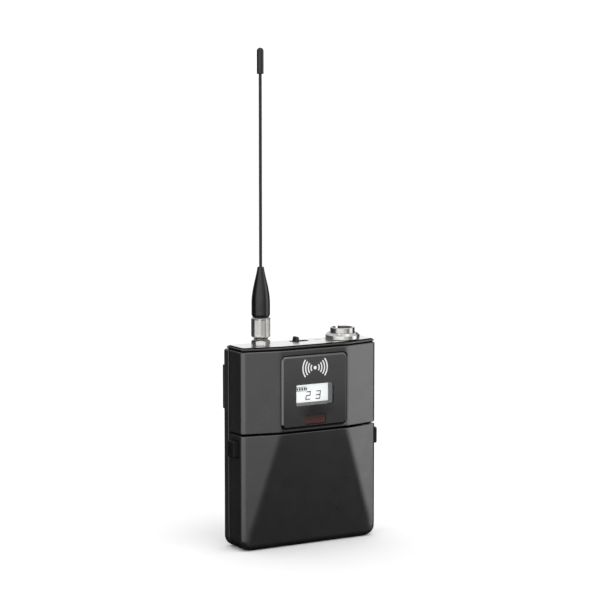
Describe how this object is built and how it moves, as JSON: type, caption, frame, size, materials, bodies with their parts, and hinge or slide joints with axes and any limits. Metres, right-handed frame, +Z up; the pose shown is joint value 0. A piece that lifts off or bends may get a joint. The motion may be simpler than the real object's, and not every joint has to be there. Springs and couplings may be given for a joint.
{
  "type": "wireless bodypack transmitter",
  "caption": "Belt-worn radio microphone transmitter: black cast case with display window, hinged battery door, whip antenna, round input connector and belt clip.",
  "frame": {"origin": "centre of the bottom face that the case stands on", "axes": "+Z up along the antenna, the display faces -Y, +X to the right seen from the front"},
  "size_m": [0.0696, 0.0251, 0.2095],
  "materials": {
    "case_paint": "fine textured satin black coating on cast metal",
    "black_plastic": "black moulded plastic with a fine grain",
    "satin_metal": "pale satin metal",
    "bright_nickel": "bright nickel plate",
    "gold": "gold flash on brass",
    "rubber": "matte black moulded rubber",
    "window_black": "glossy dark window panel",
    "clear_window": "clear polished window",
    "lcd_white": "lit white display with grey segments",
    "frame_grey": "pale grey moulded plastic",
    "infrared_red": "very dark red infrared window",
    "circuit_board": "green lacquered circuit board",
    "tin": "tinned steel sheet",
    "cell_wrap": "printed foil jacket, plain",
    "steel": "plain steel",
    "clip_steel": "satin black coated spring steel"
  },
  "bodies": {
    "case": {"rear_housing": "case_paint", "front_cover": "case_paint", "top_cap": "black_plastic", "deck_plate": "satin_metal", "display_bezel": "window_black", "display_lens": "clear_window", "infrared_window": "infrared_red", "lcd_frame": "frame_grey", "lcd_panel": "lcd_white", "display_board": "circuit_board", "infrared_receiver": "black_plastic", "main_circuit_board": "circuit_board", "radio_shield": "tin", "antenna_jack": "bright_nickel", "antenna_jack_nut": "bright_nickel", "input_connector_shell": "bright_nickel", "input_connector_nut": "satin_metal", "input_connector_insulator": "black_plastic", "input_pin_1": "gold", "input_pin_2": "gold", "input_pin_3": "gold", "input_pin_4": "gold", "power_switch_body": "black_plastic", "power_status_light": "frame_grey", "battery_tray": "black_plastic", "battery_upper": "cell_wrap", "battery_lower": "cell_wrap", "contact_bridge": "bright_nickel", "contact_positive": "bright_nickel", "contact_negative": "bright_nickel", "battery_spring_upper": "bright_nickel", "battery_spring_lower": "bright_nickel", "control_panel": "black_plastic", "control_board": "circuit_board", "door_hinge_pin": "steel", "case_screw_1": "steel", "case_screw_2": "steel", "case_screw_3": "steel", "case_screw_4": "steel"},
    "door": {"battery_door": "case_paint", "latch_spring_left": "steel", "latch_spring_right": "steel"},
    "left_latch": {"latch_left": "black_plastic"},
    "right_latch": {"latch_right": "black_plastic"},
    "power_switch": {"power_slider": "black_plastic"},
    "menu_key": {"menu_button": "frame_grey"},
    "enter_key": {"enter_button": "frame_grey"},
    "clip": {"belt_clip": "clip_steel"},
    "antenna": {"antenna_contact": "gold", "antenna_boot": "rubber", "antenna_whip": "rubber", "antenna_tip_cap": "rubber"},
    "antenna_coupling": {"antenna_nut": "bright_nickel"}
  },
  "joints": [
    {"name": "door_swing", "type": "hinge", "parent": "case", "child": "door", "pos_m": [0, 0.0024, 0.0027], "axis": [1, 0, 0], "range_deg": [0, 100]},
    {"name": "left_latch_press", "type": "slide", "parent": "door", "child": "left_latch", "axis": [1, 0, 0], "range_m": [0, 0.0012], "stiffness_N_per_m": 400, "springref_m": -0.002},
    {"name": "right_latch_press", "type": "slide", "parent": "door", "child": "right_latch", "axis": [-1, 0, 0], "range_m": [0, 0.0012], "stiffness_N_per_m": 400, "springref_m": -0.002},
    {"name": "power_slide", "type": "slide", "parent": "case", "child": "power_switch", "axis": [1, 0, 0], "range_m": [0, 0.003]},
    {"name": "menu_press", "type": "slide", "parent": "case", "child": "menu_key", "axis": [0, 1, 0], "range_m": [0, 0.0004], "stiffness_N_per_m": 500, "springref_m": -0.001},
    {"name": "enter_press", "type": "slide", "parent": "case", "child": "enter_key", "axis": [0, 1, 0], "range_m": [0, 0.0004], "stiffness_N_per_m": 500, "springref_m": -0.001},
    {"name": "clip_flex", "type": "hinge", "parent": "case", "child": "clip", "pos_m": [0, 0.0119, 0.067], "axis": [1, 0, 0], "range_deg": [0, 12], "stiffness_Nm_per_rad": 0.5, "springref_deg": -4.58},
    {"name": "antenna_rise", "type": "slide", "parent": "case", "child": "antenna", "axis": [0, 0, 1], "range_m": [0, 0.00282]},
    {"name": "antenna_nut_turn", "type": "hinge", "parent": "antenna", "child": "antenna_coupling", "pos_m": [-0.02055, 0, 0.0894], "axis": [0, 0, 1], "range_deg": [0, 1440]}
  ],
  "couplings": [
    {"joint": "antenna_nut_turn", "follows": "antenna_rise", "rad_per_m": 8905.3}
  ]
}
